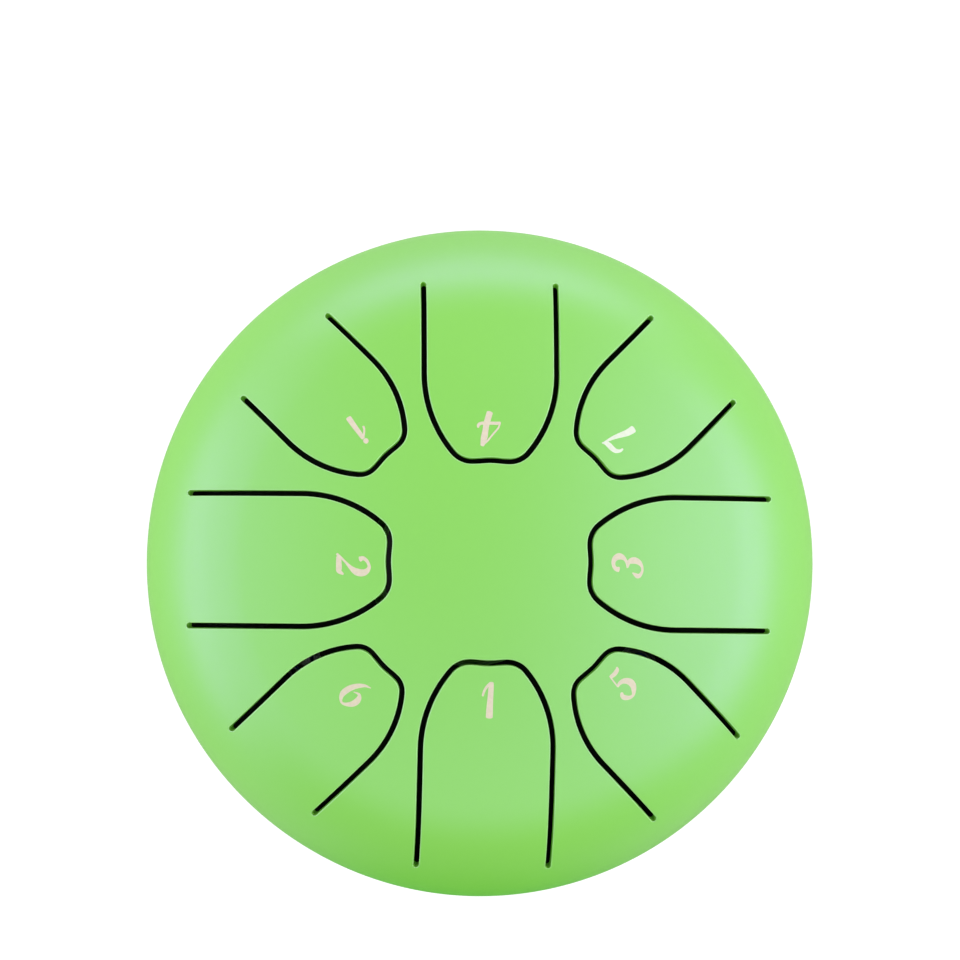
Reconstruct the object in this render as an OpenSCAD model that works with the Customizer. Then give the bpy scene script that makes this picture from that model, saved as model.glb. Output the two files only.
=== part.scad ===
// Steel tongue drum with eight tongues, two pressed shells and three screwed feet.
// It stands on its feet, +Z up, with the origin at the bottom centre. The tongue of note 1 points to -Y.

/* [Body] */
// Outer diameter of the drum
drum_d = 155; // [145:1:185]
// Thickness of the steel sheet
wall = 1.5; // [1:0.1:2]
// Radius of the flat middle of the top
top_cap_r = 190; // [160:1:260]
// Radius of the top's rounded shoulder
top_shoulder_r = 30; // [24:0.5:36]
// Radius of the flat middle of the base
base_cap_r = 230; // [190:1:300]
// Radius of the base's rounded shoulder
base_shoulder_r = 30; // [24:0.5:36]
// Height of each shell's upright skirt beside the seam, and of the lip inside the top one
skirt_h = 4; // [3:0.1:7]

/* [Seam] */
// Thickness of the adhesive
glue_t = 0.3; // [0.2:0.05:0.5]
// Depth of the adhesive's face behind the drum's side
glue_inset = 0.2; // [0.1:0.05:0.4]

/* [Tongues] */
// Width of the laser-cut slots
slot_w = 1.3; // [0.8:0.1:1.8]
// Clearance between a tongue's root and the shell
root_gap = 0.1; // [0.05:0.01:0.2]
// Hollow in the middle of a tongue's tip
tip_dip = 0.25; // [0.1:0.05:0.6]
// Distance between the slots of a wide tongue
wide_w = 30.5; // [27:0.5:32]
// Distance from the drum's axis to the tip slot of a wide tongue
wide_tip_r = 23; // [21:0.5:26]
// Width of a wide tongue's straight tip before its corners are rounded
wide_tip_w = 13.6; // [10:0.2:16]
// Radius of the tip's corners on a wide tongue
wide_corner_r = 5.7; // [4:0.1:7]
// Radius of the nose's sides on a wide tongue
wide_nose_r = 28; // [24:0.5:34]
// Distance between the slots of a slim tongue
slim_w = 27.2; // [24:0.2:28]
// Distance from the drum's axis to the tip slot of a slim tongue
slim_tip_r = 33.8; // [32:0.2:36]
// Width of a slim tongue's straight tip before its corners are rounded
slim_tip_w = 12; // [9:0.2:14]
// Radius of the tip's corners on a slim tongue
slim_corner_r = 4.5; // [3:0.1:6]
// Radius of the nose's sides on a slim tongue
slim_nose_r = 25; // [21:0.5:30]

/* [Tongue roots] */
// Distance from the drum's side to the root of the low tongue of note 1
root_1_inset = 7.7; // [6:0.1:16]
// Distance from the drum's side to the root of the tongue of note 2
root_2_inset = 9.4; // [6:0.1:16]
// Distance from the drum's side to the root of the tongue of note 3
root_3_inset = 12.5; // [6:0.1:16]
// Distance from the drum's side to the root of the tongue of note 4
root_4_inset = 13.8; // [6:0.1:16]
// Distance from the drum's side to the root of the tongue of note 5
root_5_inset = 8.1; // [6:0.1:16]
// Distance from the drum's side to the root of the tongue of note 6
root_6_inset = 9; // [6:0.1:16]
// Distance from the drum's side to the root of the tongue of note 7
root_7_inset = 10.9; // [6:0.1:16]
// Distance from the drum's side to the root of the high tongue of note 1
root_high_inset = 11.5; // [6:0.1:16]

/* [Sound hole] */
// Diameter of the sound hole in the base
hole_d = 42; // [30:1:48]
// Outer radius of the bend where the hole's edge turns inward
hole_bend_r = 3; // [2.5:0.1:5]
// Height of the hole's straight collar
collar_h = 3; // [1:0.5:8]

/* [Feet] */
// Distance from the drum's side to the axis of a foot
foot_inset = 31.5; // [28:0.5:34]
// Height of a rubber foot
foot_h = 9; // [8:0.5:14]
// Diameter of a foot where it meets the base
foot_top_d = 19; // [17:0.5:20]
// Diameter of a foot where it stands
foot_tread_d = 16; // [14:0.5:17]
// Radius of the foot's lower edge
foot_edge_r = 1; // [0.5:0.1:1.5]
// Thickness of rubber under the base
foot_floor_t = 2.5; // [2:0.1:3.5]
// Diameter of the flat pad pressed into the base for a foot
pad_d = 21; // [20.5:0.5:24]
// Height of the pad's step at its inner side
pad_step = 0.5; // [0.3:0.1:1]

/* [Fasteners] */
// Diameter of a screw's thread
screw_d = 4; // [3:0.5:4]
// Length of a screw under its head
screw_len = 12; // [12:0.5:16]
// Diameter of a screw's head
head_d = 8; // [6.5:0.5:8]
// Height of a screw's head
head_h = 2.4; // [2:0.1:2.8]
// Width of the cross recess in a screw's head
cross_w = 4.4; // [3.6:0.1:4.8]
// Breadth of one slot of the cross recess
cross_t = 0.9; // [0.7:0.1:1.2]
// Depth of the cross recess
cross_depth = 1.4; // [1:0.1:1.6]
// Diameter of the washers
washer_d = 9; // [8.5:0.1:9]
// Thickness of the washer under a nut
washer_t = 0.8; // [0.5:0.1:1.2]
// Thickness of the steel insert in a foot
insert_t = 1; // [0.8:0.1:1.5]
// Width of a nut across its flats
nut_w = 7; // [6.5:0.5:7]
// Height of a nut's hexagon
nut_h = 3.2; // [2.4:0.1:3.6]
// Height of the nut's locking collar
nut_collar_h = 1.8; // [1:0.1:2]
// Radial clearance around a screw and its head
screw_gap = 0.2; // [0.1:0.05:0.3]
// Radial clearance between a screw and its nut
thread_gap = 0.05; // [0.02:0.01:0.1]

/* [Hidden] */
$fn = 120;

drum_r = drum_d / 2;
hole_r = hole_d / 2;
foot_ring_r = drum_r - foot_inset;
pad_r = pad_d / 2;
lip_r = drum_r - wall - glue_t;
cut = wall; // overrun of every cutter

// A dome is a cap that runs into a rounded shoulder, whose centre lies at its reach from the axis.
// Its lean is the slope where the two arcs meet.
function reach(shoulder) = drum_r - shoulder;
function lean(cap, shoulder) = asin(reach(shoulder) / (cap - shoulder));
function cap_depth(cap, shoulder) = (cap - shoulder) * cos(lean(cap, shoulder));
function dome_h(cap, shoulder) = skirt_h + cap - cap_depth(cap, shoulder);
function rise(cap, r) = cap - sqrt(cap * cap - r * r);

base_z = foot_h + pad_step - rise(base_cap_r, foot_ring_r - pad_r);
seam_z = base_z + dome_h(base_cap_r, base_shoulder_r);
rim_z = seam_z + glue_t;
top_z = rim_z + dome_h(top_cap_r, top_shoulder_r);

seat_z = foot_h - foot_floor_t;
head_z = seat_z - insert_t;
washer_z = foot_h + wall;
nut_z = washer_z + washer_t;
shank_r = screw_d / 2;
shank_hole_r = shank_r + screw_gap;
nut_collar_r = nut_w / 2;
washer_r = washer_d / 2;
recess_r = washer_r + screw_gap;

// A tongue's shape: half the slot distance, its tip, half its straight tip, its corner and nose radii.
WIDE = [wide_w / 2, wide_tip_r, wide_tip_w / 2, wide_corner_r, wide_nose_r];
SLIM = [slim_w / 2, slim_tip_r, slim_tip_w / 2, slim_corner_r, slim_nose_r];

// A note's tongue: the angle of its middle line, its shape, and its root's distance from the axis.
LOW_1 = [270, WIDE, drum_r - root_1_inset];
NOTE_2 = [180, WIDE, drum_r - root_2_inset];
NOTE_3 = [0, WIDE, drum_r - root_3_inset];
NOTE_4 = [90, WIDE, drum_r - root_4_inset];
NOTE_5 = [315, SLIM, drum_r - root_5_inset];
NOTE_6 = [225, SLIM, drum_r - root_6_inset];
NOTE_7 = [45, SLIM, drum_r - root_7_inset];
HIGH_1 = [135, SLIM, drum_r - root_high_inset];
NOTES = [LOW_1, NOTE_2, NOTE_3, NOTE_4, NOTE_5, NOTE_6, NOTE_7, HIGH_1];

// Angles of the feet about the drum's axis.
back_angle = 90;
left_angle = 210;
right_angle = 330;
FEET = [back_angle, left_angle, right_angle];

green = [0.58, 0.87, 0.43];
steel = "silver";
rubber = [0.12, 0.12, 0.12];

// The points of an arc after its start.
function arc(centre, r, from, to, steps) = [
    for (i = [1 : steps]) centre + r * [cos(from + (to - from) * i / steps), sin(from + (to - from) * i / steps)]
];
function backward(points) = [for (i = [len(points) - 1 : -1 : 0]) points[i]];
function mirrored(points) = [for (i = [len(points) - 1 : -1 : 1]) [points[i].x, -points[i].y]];
function angle_of(note) = note[0];
function shape_of(note) = note[1];
function root_of(note) = note[2];

// Half of a tongue's outline, grown from the slot's middle line, from the tip to the root.
// The tip is a shallow wave, each corner an arc, and each side an arc that ends along the tongue.
function half_outline(note, grow) =
    let (
        shape = shape_of(note),
        w = shape[0] + grow,
        tip = shape[1] - grow,
        corner_r = shape[3] + grow,
        nose_r = shape[4] + grow,
        fall = shape[0] - shape[2],
        nose_u = shape[1] + sqrt(2 * shape[4] * fall - fall * fall),
        corner_u = tip + corner_r,
        corner_v = w - nose_r + sqrt(pow(nose_r - corner_r, 2) - pow(nose_u - corner_u, 2)),
        turn = atan2(corner_v - (w - nose_r), corner_u - nose_u)
    )
    concat(
        [for (i = [0 : 5]) [tip + tip_dip * (1 + cos(180 * i / 5)) / 2, corner_v * i / 5]],
        arc([corner_u, corner_v], corner_r, 180, turn, 6),
        arc([nose_u, w - nose_r], nose_r, turn, 90, 12),
        [[root_of(note), w]]
    );

// A tongue's outline inside its slot.
module plate_outline(note) {
    half = half_outline(note, -slot_w / 2);
    polygon(concat(half, mirrored(half)));
}

// The window that a tongue and its slot take from the shell. Each slot ends in a round.
module window_outline(note) {
    slot_r = slot_w / 2;
    half = concat(
        half_outline(note, slot_r),
        arc([root_of(note), shape_of(note)[0]], slot_r, 90, -acos(root_gap / slot_r), 8)
    );
    polygon(concat(half, mirrored(half)));
}

// Draws a note's outline as a prism over its stretch of the top.
module through_top(note) {
    rotate(angle_of(note))
        translate([0, 0, rim_z])
            linear_extrude(top_z - rim_z + cut)
                children();
}

// A dome's skin in section, from the skirt up to a slope, with the seam at zero.
function dome_skin(cap, shoulder, inset, slope) =
    concat(
        [[drum_r - inset, skirt_h]],
        arc([reach(shoulder), skirt_h], shoulder - inset, 0, 90 - lean(cap, shoulder), 12),
        arc([0, skirt_h - cap_depth(cap, shoulder)], cap - inset, 90 - lean(cap, shoulder), 90 - slope, 6)
    );

// The base's skin, with the sound hole's edge turned inward around a bend and along a collar.
function base_skin(inset) =
    let (
        bend_r = hole_r + hole_bend_r,
        slope = asin(bend_r / (base_cap_r - hole_bend_r)),
        bend_h = skirt_h - cap_depth(base_cap_r, base_shoulder_r) + (base_cap_r - hole_bend_r) * cos(slope)
    )
    concat(
        dome_skin(base_cap_r, base_shoulder_r, inset, slope),
        arc([bend_r, bend_h], hole_bend_r - inset, 90 - slope, 180, 6),
        [[hole_r + inset, bend_h - collar_h]]
    );

module top_dome() {
    translate([0, 0, rim_z])
        rotate_extrude()
            polygon(concat(
                [[drum_r - wall, 0], [drum_r, 0]],
                dome_skin(top_cap_r, top_shoulder_r, 0, 0),
                backward(dome_skin(top_cap_r, top_shoulder_r, wall, 0))
            ));
}

module top_shell() {
    color(green)
        difference() {
            top_dome();
            for (note = NOTES)
                through_top(note)
                    window_outline(note);
        }
}

module tongue(note) {
    color(green)
        intersection() {
            top_dome();
            through_top(note)
                plate_outline(note);
        }
}

// The base is drawn upside down from the seam. Its lip steps in by the sheet and the adhesive.
module base_dome() {
    translate([0, 0, seam_z])
        mirror([0, 0, 1])
            rotate_extrude()
                polygon(concat(
                    [[lip_r - wall, -skirt_h], [lip_r, -skirt_h], [lip_r, 0], [drum_r, 0]],
                    base_skin(0),
                    backward(base_skin(wall)),
                    [[lip_r - wall, skirt_h - wall - glue_t]]
                ));
}

// The room inside the base, up to the middle of its sheet.
module base_room() {
    translate([0, 0, seam_z])
        mirror([0, 0, 1])
            rotate_extrude()
                polygon(concat(
                    [[0, 0], [drum_r - wall / 2, 0]],
                    dome_skin(base_cap_r, base_shoulder_r, wall / 2, 0)
                ));
}

module at_foot(angle) {
    rotate(angle)
        translate([foot_ring_r, 0])
            children();
}

// Each foot has a flat pad pressed outward into the base, with a hole for its screw.
module bottom_shell() {
    color(green)
        difference() {
            union() {
                base_dome();
                difference() {
                    for (angle = FEET)
                        at_foot(angle)
                            translate([0, 0, foot_h])
                                cylinder(h = seam_z - foot_h - cut, r = pad_r);
                    base_room();
                }
            }
            for (angle = FEET)
                at_foot(angle) {
                    translate([0, 0, foot_h + wall])
                        cylinder(h = seam_z - foot_h, r = pad_r - wall);
                    translate([0, 0, foot_h - cut])
                        cylinder(h = wall + 2 * cut, r = shank_hole_r);
                }
        }
}

// The bead lies under the top shell's edge and up the outside of the base's lip.
module seam_adhesive() {
    color("darkseagreen")
        rotate_extrude() {
            translate([lip_r, seam_z])
                square([glue_t, skirt_h]);
            translate([lip_r, seam_z])
                square([drum_r - glue_inset - lip_r, glue_t]);
        }
}

// A rubber foot tapers to its tread, with a round lower edge and a recess for the screw's head.
module foot(angle) {
    tread_r = foot_tread_d / 2;
    color(rubber)
        at_foot(angle)
            difference() {
                rotate_extrude() {
                    translate([tread_r - foot_edge_r, foot_edge_r])
                        circle(foot_edge_r, $fn = 48);
                    square([tread_r - foot_edge_r, foot_h]);
                    polygon([
                        [0, foot_edge_r],
                        [tread_r, foot_edge_r],
                        [foot_top_d / 2, foot_h],
                        [0, foot_h]
                    ]);
                }
                translate([0, 0, -cut])
                    cylinder(h = cut + seat_z, r = recess_r);
                cylinder(h = foot_h + cut, r = shank_hole_r);
            }
}

module ring(r, bore_r, h) {
    difference() {
        cylinder(h = h, r = r);
        translate([0, 0, -cut])
            cylinder(h = h + 2 * cut, r = bore_r);
    }
}

module foot_inserts() {
    color(steel)
        for (angle = FEET)
            at_foot(angle)
                translate([0, 0, head_z])
                    ring(washer_r, shank_hole_r, insert_t);
}

module foot_screws() {
    color(steel)
        for (angle = FEET)
            at_foot(angle)
                difference() {
                    union() {
                        translate([0, 0, head_z - head_h])
                            cylinder(h = head_h, r = head_d / 2);
                        translate([0, 0, head_z])
                            cylinder(h = screw_len, r = shank_r);
                    }
                    for (turn = [0, 90])
                        rotate(turn)
                            translate([-cross_w / 2, -cross_t / 2, head_z - head_h - cut])
                                cube([cross_w, cross_t, cut + cross_depth]);
                }
}

module foot_washers() {
    color(steel)
        for (angle = FEET)
            at_foot(angle)
                translate([0, 0, washer_z])
                    ring(washer_r, shank_hole_r, washer_t);
}

module foot_nuts() {
    color(steel)
        for (angle = FEET)
            at_foot(angle)
                difference() {
                    translate([0, 0, nut_z]) {
                        cylinder(h = nut_h, d = nut_w / cos(30), $fn = 6);
                        cylinder(h = nut_h + nut_collar_h, r = nut_collar_r);
                    }
                    translate([0, 0, nut_z - cut])
                        cylinder(h = nut_h + nut_collar_h + 2 * cut, r = shank_r + thread_gap);
                }
}

top_shell();
bottom_shell();
seam_adhesive();
tongue(LOW_1);  // tongue_1_low
tongue(NOTE_2);  // tongue_2
tongue(NOTE_3);  // tongue_3
tongue(NOTE_4);  // tongue_4
tongue(NOTE_5);  // tongue_5
tongue(NOTE_6);  // tongue_6
tongue(NOTE_7);  // tongue_7
tongue(HIGH_1);  // tongue_1_high
foot(back_angle);  // foot_back
foot(left_angle);  // foot_left
foot(right_angle);  // foot_right
foot_inserts();
foot_screws();
foot_washers();
foot_nuts();
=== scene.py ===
import math

import bmesh
import bpy
import numpy as np
from mathutils import Matrix, Vector


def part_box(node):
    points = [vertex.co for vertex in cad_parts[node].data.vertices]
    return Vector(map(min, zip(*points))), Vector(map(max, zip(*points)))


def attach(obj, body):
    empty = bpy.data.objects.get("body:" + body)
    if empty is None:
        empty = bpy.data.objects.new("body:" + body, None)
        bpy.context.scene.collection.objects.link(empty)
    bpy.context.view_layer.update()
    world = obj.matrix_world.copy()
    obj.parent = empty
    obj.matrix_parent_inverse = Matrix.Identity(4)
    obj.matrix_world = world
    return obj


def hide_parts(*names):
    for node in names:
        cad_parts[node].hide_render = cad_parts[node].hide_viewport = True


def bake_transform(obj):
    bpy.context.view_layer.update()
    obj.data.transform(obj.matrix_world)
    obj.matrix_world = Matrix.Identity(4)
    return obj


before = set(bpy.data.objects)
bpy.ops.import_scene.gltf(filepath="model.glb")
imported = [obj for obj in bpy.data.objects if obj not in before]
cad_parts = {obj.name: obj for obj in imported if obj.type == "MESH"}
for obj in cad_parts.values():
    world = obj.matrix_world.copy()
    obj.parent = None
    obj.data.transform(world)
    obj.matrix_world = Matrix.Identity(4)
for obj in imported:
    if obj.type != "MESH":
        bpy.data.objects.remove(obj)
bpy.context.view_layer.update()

MM = 0.001

# The camera
# It hangs about 2 m over the drum, a little to the left, and sees the drum below the picture's middle.
# Its place and turn come from the drum's outline and its slots in the photograph.
PICTURE = 960                      # side of the picture in pixels
PX_PER_MM = 4.374                  # at the height of the drum's top
CAMERA_FAR = 2000 * MM
apex = Vector((0, 0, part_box("top_shell")[1].z))
apex_px = (490.2, 561.7)           # where the picture shows it
lean_x, lean_y, roll = math.radians(-3.47), math.radians(-0.56), math.radians(0.58)
right = Vector((math.cos(roll), math.sin(roll), 0))
above = Vector((-math.sin(roll), math.cos(roll), 0))
camera_at = apex + CAMERA_FAR * Vector((math.tan(lean_x), math.tan(lean_y), 1)).normalized()
aim = apex + (right * (PICTURE / 2 - apex_px[0]) + above * (apex_px[1] - PICTURE / 2)) * MM / PX_PER_MM
forward = (aim - camera_at).normalized()
side = forward.cross(above).normalized()
camera = bpy.data.objects.new("camera", bpy.data.cameras.new("camera"))
camera.data.lens = camera.data.sensor_width * PX_PER_MM * CAMERA_FAR / MM / PICTURE
camera.data.clip_end = 20
facing = Matrix((side, side.cross(forward), -forward)).transposed().to_4x4()
camera.matrix_world = Matrix.Translation(camera_at) @ facing
bpy.context.scene.collection.objects.link(camera)
bpy.context.scene.camera = camera
bpy.context.scene.view_settings.view_transform = "Standard"


# Floor, surroundings and lights
# A pale floor that shows white to the camera and keeps the drum's soft shadow. Under the drum its grey is a
# painted shadow, nearly black. A look from below passes through it. Soft boxes stand to the right and left,
# one low behind, and one high in front, whose light has a green tinge.
def shader(name):
    """A new material and its empty node tree."""
    made = bpy.data.materials.new(name)
    made.use_nodes = True
    made.node_tree.nodes.clear()
    return made, made.node_tree


def node_of(tree, kind, feeds=(), **settings):
    """Outputs of a new node. Its feeds are {input: another node's output, or a value that stays the same}."""
    made = tree.nodes.new(kind)
    for key, value in settings.items():
        setattr(made, key, value)
    for entry, feed in dict(feeds).items():
        if isinstance(feed, bpy.types.NodeSocket):
            tree.links.new(feed, made.inputs[entry])
        else:
            made.inputs[entry].default_value = feed
    return made.outputs


def calc(tree, operation, a, b):
    """One number worked out from two, such as their product or the larger of them."""
    return node_of(tree, "ShaderNodeMath", {0: a, 1: b}, operation=operation)[0]


def reach_of(tree, place):
    """How far a place lies from the origin."""
    return node_of(tree, "ShaderNodeVectorMath", {0: place}, operation="LENGTH")["Value"]


def smooth_step(tree, value, start, end, low, high):
    """A number that passes smoothly from low to high while the value goes from start to end."""
    limits = {"Value": value, "From Min": start, "From Max": end, "To Min": low, "To Max": high}
    return node_of(tree, "ShaderNodeMapRange", limits, interpolation_type="SMOOTHSTEP")[0]


def ramp_of(tree, value, *stops):
    """A colour that runs between two stops of (position, colour) as the value grows."""
    made = tree.nodes.new("ShaderNodeValToRGB")
    for element, (at, color) in zip(made.color_ramp.elements, stops):
        element.position, element.color = at, (*color, 1)
    tree.links.new(value, made.inputs[0])
    return made.outputs[0]


def mixed(tree, share, first, second):
    """Two shaders mixed, the share being the second one's."""
    return node_of(tree, "ShaderNodeMixShader", {0: share, 1: first, 2: second})[0]


WHITE_SEEN = 1.22                  # strength of the white that the camera sees
MIRRORED = 0.12                    # how much of that white shows in gloss and through glass
OPEN_SHARE = 0.8                   # how much of it lies over the floor beside the drum
UNDER_R, OPEN_R = 50 * MM, 76 * MM       # the floor's grey is a painted shadow up to the first, and pale past the second
# the floor's grey: nearly black under the drum as a painted shadow, and pale beside it
PAINTED_SHADOW_GREY, OPEN_GREY = [0.04] * 3, [0.55] * 3
POOL_Y, POOL_R, POOL_END = 250 * MM, 120 * MM, 270 * MM    # the painted green pool's place, its full part and its end
POOL_NARROW = 2.5                  # how many times as deep as wide it is
PAINTED_POOL_GREEN = (0.02, 0.6, 0.02, 1)
floor_paint, tree = shader("floor_paint")
path = node_of(tree, "ShaderNodeLightPath")
place = node_of(tree, "ShaderNodeNewGeometry")
mirrored = calc(tree, "MAXIMUM", path["Is Glossy Ray"], path["Is Transmission Ray"])
view = calc(tree, "MAXIMUM", path["Is Camera Ray"], calc(tree, "MULTIPLY", mirrored, MIRRORED))
open_floor = smooth_step(tree, reach_of(tree, place["Position"]), UNDER_R, OPEN_R, 0, OPEN_SHARE)
floor_grey_and_painted_shadow = ramp_of(tree, open_floor, (0, PAINTED_SHADOW_GREY), (OPEN_SHARE, OPEN_GREY))
lit = node_of(tree, "ShaderNodeBsdfDiffuse", {"Color": floor_grey_and_painted_shadow})[0]
seen = node_of(tree, "ShaderNodeEmission", {"Strength": WHITE_SEEN})[0]
pale = mixed(tree, calc(tree, "MULTIPLY", view, open_floor), lit, seen)
# Painted reflection: a green pool on the floor in front, seen only in the shell's gloss, stands in for the
# green light and image that the drum throws on its table.
from_pool = {"Vector": place["Position"], "Location": (0, POOL_Y, 0), "Scale": (POOL_NARROW, 1, 1)}
off_middle = reach_of(tree, node_of(tree, "ShaderNodeMapping", from_pool)[0])
pool = calc(tree, "MULTIPLY", smooth_step(tree, off_middle, POOL_R, POOL_END, 1, 0), path["Is Glossy Ray"])
painted_pool_light = node_of(tree, "ShaderNodeBsdfDiffuse", {"Color": PAINTED_POOL_GREEN})[0]
clear = node_of(tree, "ShaderNodeBsdfTransparent", {"Color": (1, 1, 1, 1)})[0]
surface = mixed(tree, place["Backfacing"], mixed(tree, pool, pale, painted_pool_light), clear)
node_of(tree, "ShaderNodeOutputMaterial", {"Surface": surface})
FLOOR_REACH = 8.0                  # metres from the drum's axis to each side
corners = [(x * FLOOR_REACH, y * FLOOR_REACH, 0) for x, y in ((-1, -1), (1, -1), (1, 1), (-1, 1))]
floor = bpy.data.objects.new("floor", bpy.data.meshes.new("floor"))
floor.data.from_pydata(corners, [], [(0, 1, 2, 3)])
floor.data.materials.append(floor_paint)
bpy.context.scene.collection.objects.link(floor)

world = bpy.data.worlds.new("studio")
bpy.context.scene.world = world
world.use_nodes = True
tree = world.node_tree
tree.nodes.clear()
lit, seen = (
    node_of(tree, "ShaderNodeBackground", {"Color": (1, 1, 1, 1), "Strength": strength})[0]
    for strength in (0.2, 1.0)
)
sky = mixed(tree, node_of(tree, "ShaderNodeLightPath")["Is Camera Ray"], lit, seen)
node_of(tree, "ShaderNodeOutputWorld", {"Surface": sky})


def soft_light(name, at, width, height, power, color):
    """A soft box of a power in watts, at a place in metres, turned to the drum and unseen by the camera."""
    lamp = bpy.data.lights.new(name, "AREA")
    lamp.shape, lamp.size, lamp.size_y = "RECTANGLE", width, height
    lamp.energy, lamp.color = power, color
    box = bpy.data.objects.new(name, lamp)
    box.location = at
    box.rotation_euler = (apex * 0.5 - Vector(at)).to_track_quat("-Z", "Y").to_euler()
    box.visible_camera = False
    bpy.context.scene.collection.objects.link(box)


plain, leafy = (1.0, 1.0, 1.0), (0.75, 1.0, 0.6)
soft_light("right_high", (0.74, 0.0, 0.87), 1.4, 0.7, 7.7, plain)
soft_light("right_low", (1.0, 0.0, 0.52), 1.3, 0.5, 7.1, plain)
soft_light("left_high", (-0.78, 0.0, 0.83), 1.3, 0.5, 4.2, plain)
soft_light("left_middle", (-0.96, 0.0, 0.57), 1.4, 0.95, 3.2, plain)
soft_light("left_low", (-1.15, 0.0, 0.22), 1.6, 0.35, 7.7, plain)
soft_light("behind", (0.0, 1.15, 0.22), 1.6, 0.35, 9.3, plain)
soft_light("front", (0.0, -0.75, 1.0), 1.0, 0.6, 4.6, leafy)


# Top shell
# A disc of 1.5 mm steel sheet pressed into a dome and laser-cut with eight slots, whose edges are tumbled
# smooth before the satin green paint. The slots leave eight tongues, which stay joined at their roots.
DRUM_R, WALL = 77.5, 1.5             # millimetres, as all sizes of the drum
CAP_R, SHOULDER_R, SKIRT = 190, 30, 4
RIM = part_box("top_shell")[0].z / MM
reach = DRUM_R - SHOULDER_R
cap_z = RIM + SKIRT - math.sqrt((CAP_R - SHOULDER_R) ** 2 - reach ** 2)
SLOT = 1.3
TIP_DIP = 0.25                       # how far the middle of a tip lies back
SECTOR = math.pi / 8                 # half of the angle between two tongues' middle lines
EDGE, HOLD = 0.25, 0.15              # an edge's rounding, and the ring that keeps its shading narrow
TOUCH = 0.002 * MM                   # points that lie nearer than this are one
# half the distance of its slots' middle lines, distance of its tip from the axis, half of the tip's straight
# part, and the radii of its corners and of its nose
WIDE = (15.25, 23.0, 6.8, 5.7, 28.0)
SLIM = (13.6, 33.8, 6.0, 4.5, 25.0)
# angle of the middle line, shape, distance of the root from the axis
TONGUES = {
    "tongue_1_low": (270, WIDE, 69.8),
    "tongue_2": (180, WIDE, 68.1),
    "tongue_3": (0, WIDE, 65.0),
    "tongue_4": (90, WIDE, 63.7),
    "tongue_5": (315, SLIM, 69.4),
    "tongue_6": (225, SLIM, 68.5),
    "tongue_7": (45, SLIM, 66.6),
    "tongue_1_high": (135, SLIM, 66.0),
}


def dome(x, y, inset=0.0):
    """Height of the top's sheet: the sphere of the cap, and past its lean the torus of the shoulder."""
    r = np.hypot(x, y)
    joint = reach / (CAP_R - SHOULDER_R) * (CAP_R - inset)
    cap = cap_z + np.sqrt(np.maximum((CAP_R - inset) ** 2 - r ** 2, 0))
    shoulder = RIM + SKIRT + np.sqrt(np.maximum((SHOULDER_R - inset) ** 2 - (r - reach) ** 2, 0))
    return np.where(r < joint, cap, shoulder)


def dome_normal(points):
    """The skin's outward direction: away from the cap's centre, or from the shoulder's ring of centres."""
    r = np.hypot(points[:, 0], points[:, 1])
    on_cap = r < reach / (CAP_R - SHOULDER_R) * CAP_R
    ring = np.where(on_cap, 0, reach / np.maximum(r, 1e-9))
    centre = np.column_stack([points[:, 0] * ring, points[:, 1] * ring, np.where(on_cap, cap_z, RIM + SKIRT)])
    out = points - centre
    return out / np.linalg.norm(out, axis=1, keepdims=True)


def half_edge(shape, root, grow, s, slot_r=0.0, shift=0.0):
    """Places on half of a tongue's outline, grown by grow, in its own plane (along, across).

    s runs 0-1 along the tip's cosine wave, 1-2 round its corner's arc, 2-3 round the nose's arc and 3-4
    straight to the root. A window goes on: 4-5 round the slot's end, and 5-6 along the root line, which lies
    further out by shift.
    """
    w0, tip0, flat, corner0, nose0 = shape
    w, tip, corner_r, nose_r = w0 + grow, tip0 - grow, corner0 + grow, nose0 + grow
    fall = w0 - flat
    nose_u = tip0 + math.sqrt(2 * nose0 * fall - fall ** 2)
    corner_u = tip + corner_r
    corner_v = w - nose_r + math.sqrt((nose_r - corner_r) ** 2 - (nose_u - corner_u) ** 2)
    turn = math.atan2(corner_v - (w - nose_r), corner_u - nose_u)
    f = [np.clip(s - k, 0, 1) for k in range(6)]
    corner_a = math.pi + (turn - math.pi) * f[1]
    nose_a = turn + (math.pi / 2 - turn) * f[2]
    last = -math.acos(shift / slot_r) if slot_r else 0.0
    end_a = math.pi / 2 + (last - math.pi / 2) * f[4]
    stop = w0 + slot_r * math.sin(last)
    spots = [
        (tip + TIP_DIP * (1 + np.cos(math.pi * f[0])) / 2, corner_v * f[0]),
        (corner_u + corner_r * np.cos(corner_a), corner_v + corner_r * np.sin(corner_a)),
        (nose_u + nose_r * np.cos(nose_a), w - nose_r + nose_r * np.sin(nose_a)),
        (nose_u + (root - nose_u) * f[3], w + 0 * f[3]),
        (root + slot_r * np.cos(end_a), w0 + slot_r * np.sin(end_a)),
        (root + shift + 0 * f[5], stop * (1 - f[5])),
    ]
    part = np.clip(np.ceil(s).astype(int) - 1, 0, 5)
    return np.column_stack([np.choose(part, [p[0] for p in spots]), np.choose(part, [p[1] for p in spots])])


def along(path, s, marks, counts):
    """The s values that cut a path's stretches between marks into equal lengths, counts[k] in stretch k."""
    length = np.append(0, np.cumsum(np.hypot(*np.diff(path, axis=0).T)))
    at = np.interp(marks, s, length)
    runs = [np.linspace(a, b, n, endpoint=False) for a, b, n in zip(at, at[1:], counts)]
    return np.interp(np.concatenate([*runs, at[-1:]]), length, s)


def both_sides(half):
    """A closed loop from a half outline and its mirror image across the middle line."""
    return np.vstack([half, half[-2:0:-1] * (1, -1)])


def turned(points, angle):
    """Places turned about the drum's axis."""
    c, s = math.cos(angle), math.sin(angle)
    return np.column_stack([points[:, 0] * c - points[:, 1] * s, points[:, 0] * s + points[:, 1] * c])


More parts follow.
